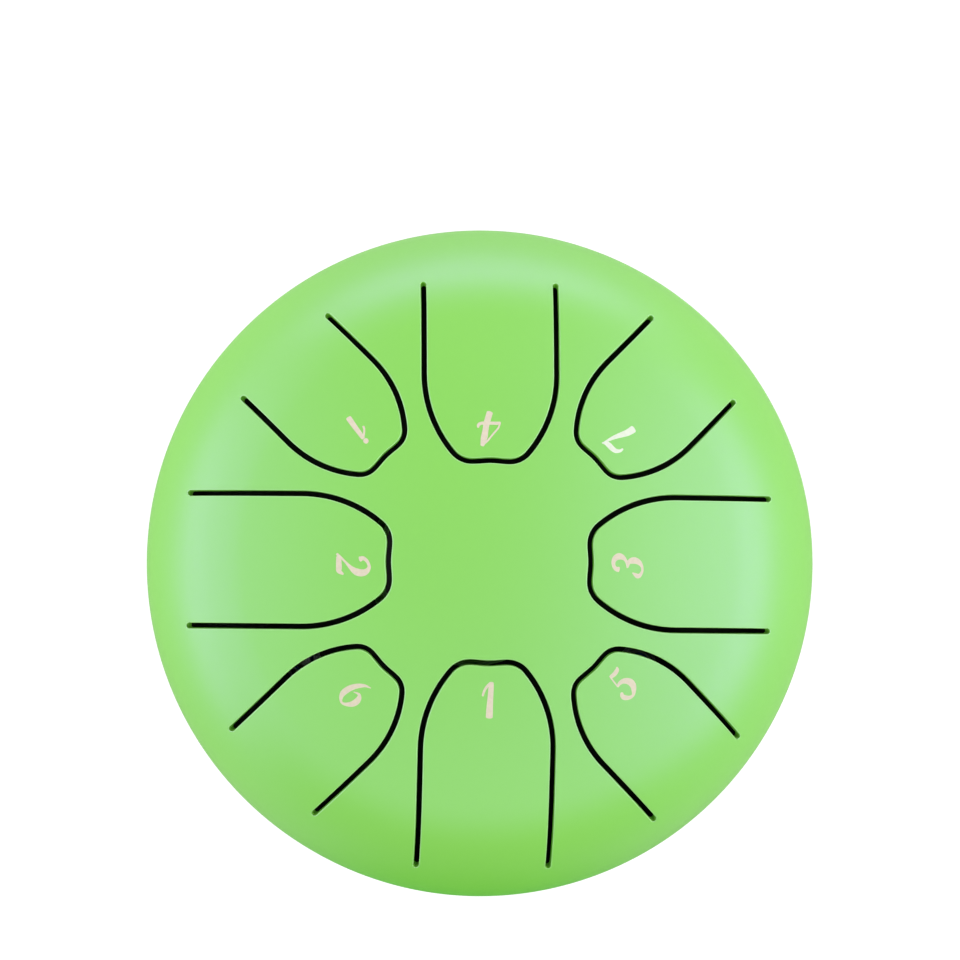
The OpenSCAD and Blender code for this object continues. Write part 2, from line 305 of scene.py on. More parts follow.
def sheet_of(rings, closed=True):
    """Points and faces of a strip of quads between neighbouring rings, all with as many points."""
    rings = np.asarray(rings, float)
    rows, count = rings.shape[:2]
    i, j = np.meshgrid(np.arange(rows - 1), np.arange(count if closed else count - 1), indexing="ij")
    k = (j + 1) % count
    corners = [i * count + j, i * count + k, (i + 1) * count + k, (i + 1) * count + j]
    return rings.reshape(-1, 3), np.stack(corners, -1).reshape(-1, 4)


def piece_of(name, sheets, materials, smooth_skin=None):
    """One object from sheets of (points in mm, faces, material number), joined where they touch.

    Faces point outward. Where smooth_skin is given, it says for each point whether the dome gives its normal.
    """
    start, points, faces, finish = 0, [], [], []
    for sheet in sheets:
        points.append(sheet[0])
        faces.append(sheet[1] + start)
        finish.append(np.full(len(sheet[1]), sheet[2] if len(sheet) > 2 else 0))
        start += len(sheet[0])
    points, faces, finish = np.vstack(points), np.vstack(faces), np.concatenate(finish)
    mesh = bpy.data.meshes.new(name)
    mesh.from_pydata(points * MM, [], faces.tolist())
    mesh.polygons.foreach_set("material_index", finish)
    work = bmesh.new()
    work.from_mesh(mesh)
    bmesh.ops.remove_doubles(work, verts=work.verts, dist=TOUCH)
    bmesh.ops.recalc_face_normals(work, faces=work.faces)
    work.to_mesh(mesh)
    work.free()
    mesh.polygons.foreach_set("use_smooth", np.ones(len(mesh.polygons), bool))
    for material in materials:
        mesh.materials.append(material)
    if smooth_skin:
        place = np.zeros(len(mesh.vertices) * 3)
        mesh.vertices.foreach_get("co", place)
        place = place.reshape(-1, 3) / MM
        normals = np.where(smooth_skin(place)[:, None], dome_normal(place), 0)
        mesh.normals_split_custom_set_from_vertices(normals)
    made = bpy.data.objects.new(name, mesh)
    bpy.context.scene.collection.objects.link(made)
    return made


def on_skin(points):
    """Which points lie on the top's outer skin."""
    return np.abs(points[:, 2] - dome(points[:, 0], points[:, 1])) < 1e-3


def evenly(steps):
    """Angles that split a full turn."""
    return np.arange(steps) * 2 * math.pi / steps


def lathe(profile, a):
    """Rings of points: a profile of (radius, height) turned about the axis to the angles a."""
    profile = np.asarray(profile, float)
    x, y = np.outer(profile[:, 0], np.cos(a)), np.outer(profile[:, 0], np.sin(a))
    return np.stack([x, y, np.repeat(profile[:, 1:2], len(a), 1)], -1)


def arc(centre, r, start, end, steps):
    """Points on an arc, angles in degrees."""
    a = np.radians(np.linspace(start, end, steps + 1))
    return np.column_stack([centre[0] + r * np.cos(a), centre[1] + r * np.sin(a)])


def tinted(tree, value, color, depth):
    """A colour that a noise makes darker and lighter, by a share of depth each way."""
    darker, lighter = ([c * (1 + way * depth) for c in color] for way in (-1, 1))
    return ramp_of(tree, value, (0, darker), (1, lighter))


def paint(name, color, depth, shine=(1, 1, 1), ior=1.5):
    """Satin spray paint: faint orange peel in the bump, and slow, slight changes in colour and gloss.

    The green has a pearl pigment, whose gloss is stronger and bluish.
    """
    made, tree = shader(name)
    place = node_of(tree, "ShaderNodeTexCoord")["Object"]
    drift = node_of(tree, "ShaderNodeTexNoise", {"Vector": place, "Scale": 16, "Detail": 2})[0]
    mist = node_of(tree, "ShaderNodeTexNoise", {"Vector": place, "Scale": 900, "Detail": 3})[0]
    gloss = node_of(tree, "ShaderNodeMapRange", {"Value": mist, "To Min": 0.44, "To Max": 0.56})[0]
    peel = node_of(tree, "ShaderNodeBump", {"Height": mist, "Strength": 0.06, "Distance": 0.04 * MM})[0]
    skin = node_of(tree, "ShaderNodeBsdfPrincipled", {
        "Base Color": tinted(tree, drift, color, depth), "Roughness": gloss, "Normal": peel,
        "IOR": ior, "Specular Tint": (*shine, 1),
    })[0]
    node_of(tree, "ShaderNodeOutputMaterial", {"Surface": skin})
    return made


pearl = (0.46, 0.23, 1.0)
green = paint("satin_green_paint", (0.207, 0.585, 0.031), 0.03, pearl, 2.29)
# the rounded edges of slots and tongues get a lighter green: a painted highlight along each cut
edge_green_painted_highlight = paint("edges_painted_highlight", (0.28, 0.62, 0.13), 0.03, pearl, 2.29)
# the inner faces are near black: a dark primer, made darker as painted shade so that the slots show black
inside = paint("dark_primer_and_painted_shade", (0.012, 0.014, 0.012), 0.1)
sheet_paints = [green, inside, edge_green_painted_highlight]
SKIN, BACK, ROUNDING = 0, 1, 2       # their numbers, by the part of the sheet that they cover

# The shell is laid out in sectors of about 45 degrees, each a net between its window's outline and the
# sector's border: two lines from the axis and an arc. The lines give way to the wide tongues' noses, and
# neighbours have the same points on them, so the sectors join.
BORDER_R = 73.6
NET_RINGS, BACK_RINGS = 10, 6        # rings of a sector's net, on the skin and on the back
runs = [np.linspace(0, 20, 15), np.linspace(20, 40, 29), np.linspace(40, BORDER_R, 32)]
radii = np.unique(np.concatenate(runs))
# how far the lines give way at most, at which radius, and over what width
GIVE, GIVE_AT, GIVE_OVER = math.radians(4.2), 31, 9
# the arc's stretches, from the sector's side: beside the slot, past the slot's end and past the root line
ARC_MARKS, ARC_COUNTS = np.radians([22.5, 13.5, 11.5, 0]), (6, 5, 21)
runs = [np.linspace(a, b, n + 1)[1:] for a, b, n in zip(ARC_MARKS, ARC_MARKS[1:], ARC_COUNTS)]
rim_a = np.concatenate(runs)
s_all = np.linspace(0, 6, 2401)      # fine enough to measure an outline's lengths with


def half_border(shape):
    """Half of a sector's border: from the axis out along its line, then along the arc to the middle line."""
    way = 1 if shape is WIDE else -1
    side = SECTOR + way * GIVE * np.exp(-((radii - GIVE_AT) / GIVE_OVER) ** 2)
    return np.vstack([
        np.column_stack([radii * np.cos(side), radii * np.sin(side)]),
        np.column_stack([BORDER_R * np.cos(rim_a), BORDER_R * np.sin(rim_a)]),
    ])


def window_steps(shape, root, border):
    """The s values of the outline's points that answer to the border's points.

    The corner's middle and the side's end answer to the nearest points of the border's line, and the slot's
    end and the root line answer to its arc.
    """
    path = half_edge(shape, root, SLOT / 2, s_all, SLOT / 2)
    marks = [0, 1.5, 4, 4.5, 5, 6]
    line = border[:len(radii)]
    corner, end = (
        int(np.argmin(np.linalg.norm(line - path[np.searchsorted(s_all, m)], axis=1))) for m in marks[1:3]
    )
    stops = [0, corner, end, *(len(line) - 1 + np.cumsum(ARC_COUNTS))]
    return along(path, s_all, marks, np.diff(stops))


def lifted(plan, depth=0.0, inset=0.0):
    """Plan points raised to the skin of that inset, then lowered by depth."""
    return np.column_stack([plan, dome(plan[:, 0], plan[:, 1], inset) - depth])


def under(plan):
    """Plan places of the sheet's inner face, square under places of its skin."""
    return plan - WALL * dome_normal(lifted(plan))[:, :2]


round_a = np.radians(np.linspace(0, 90, 5))
# how far back from the cut, and how far down, the points of an edge's rounding lie
edge_in, edge_down = EDGE * (1 - np.sin(round_a)), EDGE * (1 - np.cos(round_a))


def sector(angle, shape, root):
    """The sheets round one window: the skin's net, the slot's rounding, its cut and the back's net.

    A net's rings lie evenly between the window's outline and the sector's border.
    """
    border = half_border(shape)
    s = window_steps(shape, root, border)
    turn = math.radians(angle)

    def ring(back, shift=0.0):
        """The window's outline, set back into the sheet."""
        r = SLOT / 2 + back
        return turned(both_sides(half_edge(shape, root, r, s, r, shift)), turn)

    outer = turned(both_sides(border), turn)
    hold = ring(EDGE + HOLD, HOLD)
    net = [lifted(hold + (outer - hold) * t) for t in np.linspace(0, 1, NET_RINGS)]
    edge = [lifted(ring(b), d) for b, d in zip(edge_in, edge_down)]
    back = [lifted(under(ring(b)), -d, WALL) for b, d in zip(edge_in[::-1], edge_down[::-1])]
    hold = under(hold)
    back_net = [lifted(hold + (outer - hold) * t, 0, WALL) for t in np.linspace(0, 1, BACK_RINGS)]
    return [
        (*sheet_of(net[::-1] + edge[:1]), SKIN), (*sheet_of(edge), ROUNDING),
        (*sheet_of([edge[-1], back[0]]), SKIN), (*sheet_of(back + back_net), BACK),
    ]


sheets = [sheet for tongue in TONGUES.values() for sheet in sector(*tongue)]
eighth = np.concatenate([rim_a[::-1], [SECTOR], SECTOR * 2 - rim_a[:-1]])
band_a = np.concatenate([eighth + k * SECTOR * 2 for k in range(8)])
lip = 0.3                            # rounding of the skirt's lower edge
SHOULDER_STEPS = 16
# where the sectors end on the shoulder's outer and inner arc, in degrees
outer_end = math.degrees(math.acos((BORDER_R - reach) / SHOULDER_R))
inner_end = math.degrees(math.acos((BORDER_R - reach) / (SHOULDER_R - WALL)))
skin_profile = np.vstack([
    arc((reach, RIM + SKIRT), SHOULDER_R, outer_end, 0, SHOULDER_STEPS),
    np.column_stack([np.full(4, DRUM_R), np.linspace(RIM + SKIRT, RIM + lip, 5)[1:]]),
    arc((DRUM_R - lip, RIM + lip), lip, 0, -90, 4)[1:],
    arc((DRUM_R - WALL + lip, RIM + lip), lip, -90, -180, 4),
])
back_profile = np.vstack([
    skin_profile[-1:],
    [(DRUM_R - WALL, RIM + SKIRT)],
    arc((reach, RIM + SKIRT), SHOULDER_R - WALL, 0, inner_end, SHOULDER_STEPS)[1:],
])
sheets.append((*sheet_of(lathe(skin_profile, band_a)), SKIN))
sheets.append((*sheet_of(lathe(back_profile, band_a)), BACK))
top = piece_of("top_shell_skin", sheets, sheet_paints, on_skin)
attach(top, "drum")
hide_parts("top_shell")


# Tongues
# Each tongue is the piece of the same sheet that its slot leaves, joined to the shell at its root, where it
# bends when struck. Its edges are as smooth as the slot's.
COLUMNS = 2 * ARC_COUNTS[-1]         # as many as the root line has on the shell
SIDE_COUNTS = (14, 14, 30)           # steps along a side: on its corner, its nose and its straight part


def tongue_plate(name, angle, shape, root):
    """A net between the tongue's tip and root: rows bulge from the tip's wave to the straight root line.

    The middle column has even steps. Towards the sides, by the cube of q, the rows turn to the sides' own
    points, and the tip's wave fades by the square of what is left to the root.
    """
    path = half_edge(shape, root, -SLOT / 2, s_all)
    s = along(path, s_all, [1, 2, 3, 4], SIDE_COUNTS)
    q = np.linspace(-1, 1, COLUMNS + 1)
    turn = math.radians(angle)
    bulge = np.abs(q) ** 3
    rows = len(s)
    fade = np.linspace(1, 0, rows) ** 2

    def outline(back, shift=0.0):
        """The plate's outline set back from its cut edge, with its tip row, its sides and its root row."""
        grow = -SLOT / 2 - back
        sides = half_edge(shape, root - shift, grow, s)
        wave = TIP_DIP * (1 + np.cos(math.pi * q)) / 2
        tip_row = np.column_stack([sides[0, 0] + wave, sides[0, 1] * q])
        root_row = np.column_stack([np.full(COLUMNS + 1, root - shift), sides[-1, 1] * q])
        loop = np.vstack([tip_row, sides[1:], root_row[-2::-1], sides[-2:0:-1] * (1, -1)])
        return sides, wave, turned(loop, turn)

    sides, wave, hold = outline(EDGE + HOLD, HOLD)
    middle = np.linspace(sides[0, 0], sides[-1, 0], rows)
    along_u = middle[:, None] * (1 - bulge) + sides[:, :1] * bulge + wave * fade[:, None]
    plan = turned(np.stack([along_u, sides[:, 1:] * q], -1).reshape(-1, 2), turn)
    faces = sheet_of(np.zeros((rows, COLUMNS + 1, 3)), False)[1]
    cuts = [outline(b)[2] for b in edge_in]
    edge = [lifted(p, d) for p, d in zip(cuts, edge_down)]
    back = [lifted(under(p), -d, WALL) for p, d in zip(cuts[::-1], edge_down[::-1])]
    made = piece_of(name + "_plate", [
        (lifted(plan), faces, SKIN), (*sheet_of([lifted(hold), edge[0]]), SKIN), (*sheet_of(edge), ROUNDING),
        (*sheet_of([edge[-1], back[0]]), SKIN), (*sheet_of([*back, lifted(under(hold), 0, WALL)]), BACK),
        (lifted(under(plan), 0, WALL), faces, BACK),
    ], sheet_paints, on_skin)
    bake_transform(made)
    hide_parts(name)


for name, (angle, shape, root) in TONGUES.items():
    tongue_plate(name, angle, shape, root)


# Numerals
# The notes' numbers, etched through the paint to the matt steel: each stroke follows a curve whose half width
# swells and thins as a roman numeral's does. They are thin closed plates on the tongues.
CURVE_STEPS = 10                     # between two given points of a stroke
THINNEST = 0.03                      # least half width
FILM = 0.02                          # how far a stroke stands out of the paint, and reaches into it
STEP_UP = 0.15                       # share of that by which each stroke stands out more than the last
ROUND_END = 0.4                      # how much of a half circle ends a stroke


def plain_finish(name, color, depth, grain, bump, roughness, rise=0.05 * MM, metallic=0):
    """A simple finish: one fine noise, of scale grain, varies the colour by depth and gives the relief."""
    made, tree = shader(name)
    place = node_of(tree, "ShaderNodeTexCoord")["Object"]
    noise = node_of(tree, "ShaderNodeTexNoise", {"Vector": place, "Scale": grain, "Detail": 4})[0]
    relief = node_of(tree, "ShaderNodeBump", {"Height": noise, "Strength": bump, "Distance": rise})[0]
    body = node_of(tree, "ShaderNodeBsdfPrincipled", {
        "Base Color": tinted(tree, noise, color, depth), "Normal": relief,
        "Roughness": roughness, "Metallic": metallic,
    })[0]
    node_of(tree, "ShaderNodeOutputMaterial", {"Surface": body})
    return made


def flowing(points):
    """A smooth curve through the given points, by Catmull and Rom's cubic."""
    p = np.asarray(points, float)
    p = np.vstack([2 * p[0] - p[1], p, 2 * p[-1] - p[-2]])
    t = np.linspace(0, 1, CURVE_STEPS, endpoint=False)[:, None]
    runs = [
        0.5 * (2 * b + (c - a) * t + (2 * a - 5 * b + 4 * c - d) * t ** 2 + (3 * b - a - 3 * c + d) * t ** 3)
        for a, b, c, d in zip(p, p[1:], p[2:], p[3:])
    ]
    return np.vstack([*runs, p[-2:-1]])


def stroke_outline(points):
    """Left and right edges of a stroke of (x, y, half width), with its ends rounded off."""
    line = flowing(points)
    line[:, 2] = np.maximum(line[:, 2], THINNEST)
    ahead = np.gradient(line[:, :2], axis=0)
    ahead /= np.linalg.norm(ahead, axis=1, keepdims=True)
    turn = np.radians([22.5, 45, 67.5, 85])
    first, last = (
        np.column_stack([end[:2] + np.outer(np.sin(turn) * ROUND_END * end[2], way), end[2] * np.cos(turn)])
        for end, way in ((line[0], -ahead[0]), (line[-1], ahead[-1]))
    )
    line = np.vstack([first[::-1], line, last])
    ahead = np.vstack([np.repeat(ahead[:1], len(turn), 0), ahead, np.repeat(ahead[-1:], len(turn), 0)])
    across = np.column_stack([-ahead[:, 1], ahead[:, 0]])
    return line[:, :2] + across * line[:, 2:], line[:, :2] - across * line[:, 2:]


def dot_outline(x, y, r):
    """Left and right halves of a round dot."""
    a = np.radians(np.linspace(5, 175, 19))
    rise, half = -r * np.cos(a), r * np.sin(a)
    return np.column_stack([x - half, y + rise]), np.column_stack([x + half, y + rise])


def numeral(tongue, distance, aside, parts, finish):
    """The plates of one numeral's strokes, its middle at a distance from the axis along its tongue.

    A plate's section is a strip of three points above the paint and three below. Each stroke stands a little
    higher than the one before, so that none flickers where two cross.
    """
    turn = math.radians(TONGUES[tongue][0])
    up = -np.array([math.cos(turn), math.sin(turn)])
    right = np.array([up[1], -up[0]])
    middle = -up * distance + right * aside
    ends = [[0, 1, 4, 5], [1, 2, 3, 4]]
    sheets = []
    for k, (left, other) in enumerate(parts):
        plan = [middle + side[:, :1] * right + side[:, 1:] * up for side in (left, (left + other) / 2, other)]
        high = FILM * (1 + STEP_UP * k)
        rings = np.stack([lifted(p, -high) for p in plan] + [lifted(p, FILM) for p in plan[::-1]], 1)
        points, faces = sheet_of(rings)
        last = len(points) - rings.shape[1]
        caps = np.array([[last + i for i in e] for e in ends] + [e[::-1] for e in ends])
        sheets.append((points, np.vstack([faces, caps])))
    made = piece_of(tongue + "_numeral", sheets, [finish], lambda p: p[:, 2] > dome(p[:, 0], p[:, 1]))
    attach(made, tongue)


etching = {"depth": 0.12, "grain": 1500, "bump": 0.25, "rise": 0.03 * MM, "roughness": 0.65}
beige_steel = plain_finish("etched_steel", (0.585, 0.5, 0.425), **etching)
# the seventh note's numeral gets a lighter, less warm copy of the same etched steel
white_steel = plain_finish("etched_steel_bright", (0.61, 0.64, 0.57), **etching)
# distance from the axis and sideways, then each stroke's points as (right, up, half width)
NUMERALS = {
    "tongue_1_low": (31.65, 0.15, [
        [(0.5, 3.95, 0.55), (0.5, 3, 0.6), (0.4, 1, 0.65), (0.25, -2, 0.75), (0.2, -3.9, 0.8)],
        [(0.3, 3.9, 0.3), (-0.6, 2.9, 0.3), (-1.1, 2.0, 0.28), (-1.4, 0.95, 0.25)],
    ]),
    "tongue_2": (31.45, 1.45, [
        [(-1.75, 1.75, 0.62), (-1.95, 2.5, 0.45), (-1.3, 3.35, 0.36), (-0.2, 3.85, 0.36), (0.6, 3.65, 0.5),
         (1.2, 3.0, 0.7), (1.4, 2.1, 0.82), (1.2, 1.1, 0.8), (0.75, 0.3, 0.64), (0.05, -0.5, 0.42),
         (-1, -1.5, 0.25), (-2, -2.5, 0.25), (-2.9, -3.5, 0.28)],
        [(-2.2, -3.1, 0.56), (0, -3.0, 0.66), (1.0, -2.95, 0.58), (1.75, -2.0, 0.2)],
    ]),
    "tongue_3": (31.9, -0.7, [
        [(-0.75, 2.25, 0.62), (-0.6, 2.9, 0.5), (0.1, 3.4, 0.42), (1.1, 3.45, 0.5), (1.9, 2.95, 0.66),
         (2.25, 2.2, 0.75), (2.05, 1.4, 0.6), (1.5, 0.75, 0.36), (0.7, 0.35, 0.3), (-0.3, 0.2, 0.22)],
        [(-0.2, 0.15, 0.2), (0.8, -0.05, 0.45), (1.3, -0.8, 0.72), (1.3, -1.7, 0.72), (0.8, -2.6, 0.55),
         (0, -3.15, 0.32), (-1, -3.25, 0.28), (-1.9, -2.8, 0.4), (-2.2, -2.2, 0.55), (-1.9, -1.6, 0.4),
         (-1.5, -1.0, 0.15)],
    ]),
    "tongue_4": (30.35, 0.6, [
        [(1.35, 3.75, 0.45), (0.95, 2, 0.75), (0.6, 0, 0.68), (0.35, -1.4, 0.7), (-0.35, -3.85, 0.72)],
        [(1.2, 3.6, 0.2), (0.1, 2.6, 0.2), (-1.2, 1.0, 0.2), (-2.3, -0.3, 0.2), (-2.6, -1.0, 0.2)],
        [(-2.75, -1.4, 0.36), (0, -1.4, 0.36), (1.6, -1.35, 0.36), (2.2, -1.0, 0.36), (2.35, -0.4, 0.25)],
    ]),
    "tongue_5": (41.5, 2.45, [
        [(-0.95, 3.1, 0.42), (0.2, 3.0, 0.5), (1.2, 3.25, 0.45), (1.65, 3.75, 0.15)],
        [(-1.0, 3.4, 0.17), (-1.2, 1.9, 0.17), (-1.35, 0.4, 0.17)],
        [(-1.35, 0.4, 0.25), (-0.6, 0.6, 0.4), (0.3, 0.45, 0.55), (1.1, -0.2, 0.7), (1.5, -1.1, 0.78),
         (1.3, -2.1, 0.7), (0.6, -3.0, 0.5), (-0.2, -3.55, 0.33), (-1.1, -3.35, 0.42), (-1.9, -2.6, 0.58),
         (-2.05, -1.9, 0.5), (-1.65, -1.3, 0.3)],
    ]),
    "tongue_6": (43.95, -0.7, [
        [(2.4, 4.35, 0.08), (1.2, 3.85, 0.3), (0.2, 2.9, 0.5), (-0.6, 1.7, 0.62), (-1.1, 0.3, 0.7),
         (-1.2, -1.0, 0.65), (-0.8, -2.0, 0.42), (0, -2.65, 0.25), (0.9, -2.4, 0.35), (1.9, -1.4, 0.6),
         (2.3, -0.3, 0.72), (2.2, 0.7, 0.6), (1.7, 1.35, 0.35), (1.1, 1.35, 0.22), (0.3, 0.95, 0.1)],
    ]),
    "tongue_7": (40.8, -0.85, [
        [(-2.15, 0.7, 0.2), (-2.0, 1.5, 0.35), (-1.3, 2.2, 0.5), (-0.3, 2.4, 0.6), (0.8, 2.4, 0.6),
         (1.6, 2.65, 0.42), (2.2, 3.2, 0.1)],
        [(1.95, 3.0, 0.15), (1.6, 1.6, 0.3), (1.1, 0.2, 0.45), (0.35, -1.4, 0.62), (-0.3, -2.8, 0.75),
         (-0.65, -4.3, 0.85)],
    ]),
    "tongue_1_high": (42.05, 0.05, [
        [(0.75, 1.6, 0.45), (0.65, 1, 0.5), (0.5, 0, 0.53), (0.2, -2, 0.6), (-0.15, -4, 0.65)],
        [(0.4, 1.4, 0.2), (-0.4, 0.8, 0.22), (-0.95, 0.2, 0.24), (-1.2, -0.3, 0.25)],
    ]),
}
HIGH_DOT = (0.75, 2.5, 0.62)         # place and radius of the dot by the high note's number
for name, (distance, aside, strokes) in NUMERALS.items():
    parts = [stroke_outline(s) for s in strokes]
    if name == "tongue_1_high":
        parts.append(dot_outline(*HIGH_DOT))
    numeral(name, distance, aside, parts, white_steel if name == "tongue_7" else beige_steel)


# Bottom shell
# The base is pressed from the same sheet: a deeper dome with its sound hole's edge turned inward, three flat
# pads for the feet and a lip that steps inside the top shell. It is sprayed with the same paint.
BASE_CAP_R = 230
SEAM = RIM - 0.3
STEP_R, LIP_R, LIP_H = 75.7, 74.2, 4
LIP_FOOT = 2.2                       # how far below the seam the lip's inner face ends
base_cap_z = SEAM - SKIRT + math.sqrt((BASE_CAP_R - SHOULDER_R) ** 2 - reach ** 2)
HOLE_R, BEND_R, COLLAR_H = 21, 3, 3
FEET = (90, 210, 330)                # angles, in degrees
FOOT_RING, FOOT_H, PAD_R, SCREW_HOLE_R = 46, 9, 10.5, 2.2
PAD_SLOPE = 3                        # width of the slope round a pad
PAD_RINGS = (6.5, 5, 4, 3.2, SCREW_HOLE_R)    # radii of the rings on its flat middle
BASE_STEPS = 288


def bowl(x, y, inset=0.0):
    """Height of the base's sheet: the dome's shape upside down, with a wider cap."""
    r = np.hypot(x, y)
    joint = reach / (BASE_CAP_R - SHOULDER_R) * (BASE_CAP_R - inset)
    cap = base_cap_z - np.sqrt(np.maximum((BASE_CAP_R - inset) ** 2 - r ** 2, 0))
    shoulder = SEAM - SKIRT - np.sqrt(np.maximum((SHOULDER_R - inset) ** 2 - (r - reach) ** 2, 0))
    return np.where(r < joint, cap, shoulder)


def base_sheet(plan, inset=0.0):
    """Plan points set on the base's outer or inner face, which dips to a flat pad at each foot."""
    flat, edge = (FOOT_H, PAD_R - 0.3) if inset == 0 else (FOOT_H + inset, PAD_R - inset)
    z = bowl(plan[:, 0], plan[:, 1], inset)
    for angle in np.radians(FEET):
        d = np.hypot(plan[:, 0] - FOOT_RING * math.cos(angle), plan[:, 1] - FOOT_RING * math.sin(angle))
        t = np.clip((d - edge) / PAD_SLOPE, 0, 1)
        z = z + (flat - z) * (1 - t * t * (3 - 2 * t))
    return np.column_stack([plan, z])


def base_face(inset, inner_r, rows=32):
    """One face of the base's sheet, from the hole's bend to the shoulder, in six sectors of 60 degrees.

    Every second one holds a pad, and its net runs in to the screw's hole. The others are plain polar nets.
    Gives the nets and the rings round the screws' holes.
    """
    half = math.pi / 6
    radii = np.linspace(inner_r, BORDER_R, rows)
    fans = np.linspace(-half, half, BASE_STEPS // 6 + 1)
    ray = np.column_stack([radii * math.cos(half), radii * math.sin(half)])
    rim, bore = (np.column_stack([r * np.cos(fans), r * np.sin(fans)]) for r in (BORDER_R, inner_r))
    border = np.vstack([ray[:-1], rim[:0:-1], ray[:0:-1] * (1, -1), bore[:-1]])
    middle = np.array([FOOT_RING, 0])
    bearing = np.arctan2(*(border - middle).T[::-1])
    circle = np.column_stack([np.cos(bearing), np.sin(bearing)])
    wide = PAD_R + PAD_SLOPE + 0.2
    rings = [border + (middle + wide * circle - border) * t for t in np.linspace(0, 1, 14)]
    slope_rings = np.linspace(wide, PAD_R - 2.5, 17)[1:]
    rings += [middle + r * circle for r in (*slope_rings, *PAD_RINGS)]
    a, r = np.meshgrid(fans, radii)
    fan = np.column_stack([(r * np.cos(a)).ravel(), (r * np.sin(a)).ravel()])
    sheets, holes = [], []
    for angle in np.radians(FEET):
        net = [base_sheet(turned(p, angle), inset) for p in rings]
        sheets.append(sheet_of(net))
        holes.append(net[-1])
        plain = base_sheet(turned(fan, angle + math.pi / 3), inset)
        sheets.append(sheet_of(plain.reshape(rows, len(fans), 3), False))
    return sheets, holes


hole_z = base_cap_z - math.sqrt((BASE_CAP_R - BEND_R) ** 2 - (HOLE_R + BEND_R) ** 2)
lean = math.degrees(math.asin((HOLE_R + BEND_R) / (BASE_CAP_R - BEND_R)))
collar_top = hole_z + COLLAR_H
bend = (HOLE_R + BEND_R, hole_z)
hole_outer = arc(bend, BEND_R, 270 + lean, 180, 12)
hole_inner = arc(bend, BEND_R - WALL, 180, 270 + lean, 12)
hole_profile = np.vstack([
    hole_outer,
    [(HOLE_R, collar_top - 1)],
    arc((HOLE_R + lip, collar_top - lip), lip, 180, 90, 4),
    arc((HOLE_R + WALL - lip, collar_top - lip), lip, 90, 0, 4),
    [(HOLE_R + WALL, collar_top - 1)],
    hole_inner,
])
side_profile = np.vstack([
    arc((reach, SEAM - SKIRT), SHOULDER_R, -outer_end, 0, SHOULDER_STEPS),
    [(DRUM_R, SEAM - SKIRT / 2)],
    arc((DRUM_R - lip, SEAM - lip), lip, 0, 90, 4),
    [(STEP_R, SEAM)],
    [(STEP_R, SEAM + LIP_H / 2)],
    arc((STEP_R - lip, SEAM + LIP_H - lip), lip, 0, 90, 4),
    arc((LIP_R + lip, SEAM + LIP_H - lip), lip, 90, 180, 4),
    [(LIP_R, SEAM + LIP_H / 2), (LIP_R, SEAM - LIP_FOOT)],
    [(DRUM_R - WALL, SEAM - SKIRT)],
    arc((reach, SEAM - SKIRT), SHOULDER_R - WALL, 0, -inner_end, SHOULDER_STEPS)[1:],
])
outside, outer_holes = base_face(0, hole_outer[0, 0])
within, inner_holes = base_face(WALL, hole_inner[-1, 0])
sheets = [(*s, SKIN) for s in outside] + [(*s, BACK) for s in within]
sheets += [(*sheet_of(pair), SKIN) for pair in zip(outer_holes, inner_holes)]
sheets += [(*sheet_of(lathe(profile, evenly(BASE_STEPS))), SKIN) for profile in (hole_profile, side_profile)]
base = piece_of("bottom_shell_skin", sheets, [green, inside])
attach(base, "drum")
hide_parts("bottom_shell")


# Seam adhesive
# A bead of sealing glue between the two shells: it fills the step under the top shell's edge and the gap up
# the base's lip. Its outer face shrinks a little as it cures, and the green paint goes over it.
def closed_lathe(profile, steps):
    """A solid of revolution from a closed profile."""
    rings = lathe(profile, evenly(steps))
    return sheet_of([*rings, rings[0]])


GLUE, GLUE_R = 0.3, 77.3             # the bead's height at the seam, and its outer radius
SINK = 0.06                          # how far its face has shrunk
bead = plain_finish("painted_sealant", (0.2, 0.5, 0.1), depth=0.08, grain=700, bump=0.3, roughness=0.5)
bead_profile = [
    (STEP_R, SEAM), (GLUE_R - 0.05, SEAM),
    (GLUE_R - SINK, SEAM + GLUE / 3), (GLUE_R - SINK, SEAM + GLUE * 2 / 3),
    (GLUE_R - 0.05, SEAM + GLUE), (DRUM_R - WALL, SEAM + GLUE),
    (DRUM_R - WALL, SEAM + LIP_H), (STEP_R, SEAM + LIP_H),
]
seal = piece_of("seam_bead", [closed_lathe(bead_profile, BASE_STEPS)], [bead])
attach(seal, "drum")
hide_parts("seam_adhesive")


# Feet
# Three moulded rubber feet with a rounded tread edge and a slight taper. The recess in each takes the screw's
# head, so that nothing hard touches the table.
FOOT_STEPS = 96
rubber = plain_finish("foot_rubber", (0.018, 0.018, 0.018), depth=0.35, grain=900, bump=0.5, roughness=0.72)
TREAD_R, TOP_R, TREAD_EDGE, RECESS_R, RECESS_H = 8.0, 9.5, 1.0, 4.7, 6.5
SMALL_EDGE = 0.3                     # rounding of the recess's edges and of the top's
slope = math.degrees(math.atan((TOP_R - TREAD_R) / FOOT_H))
foot_profile = np.vstack([
    [(SCREW_HOLE_R, RECESS_H), (SCREW_HOLE_R + 0.3, RECESS_H), (RECESS_R - 0.4, RECESS_H)],
    arc((RECESS_R - SMALL_EDGE, RECESS_H - SMALL_EDGE), SMALL_EDGE, 90, 0, 4),
    [(RECESS_R, 0.6)],
    arc((RECESS_R + SMALL_EDGE, SMALL_EDGE), SMALL_EDGE, 180, 270, 4),
    [(TREAD_R - 1.6, 0)],
    arc((TREAD_R - TREAD_EDGE + 0.16, TREAD_EDGE), TREAD_EDGE, -90, -slope, 8),
    [(TREAD_R + 0.9, FOOT_H * 0.55)],
    arc((TOP_R - 0.35, FOOT_H - SMALL_EDGE), SMALL_EDGE, -slope, 90, 5),
    [(TOP_R - 1.5, FOOT_H), (SCREW_HOLE_R + 0.3, FOOT_H)],
    [(SCREW_HOLE_R, FOOT_H), (SCREW_HOLE_R, FOOT_H - 0.5)],
])


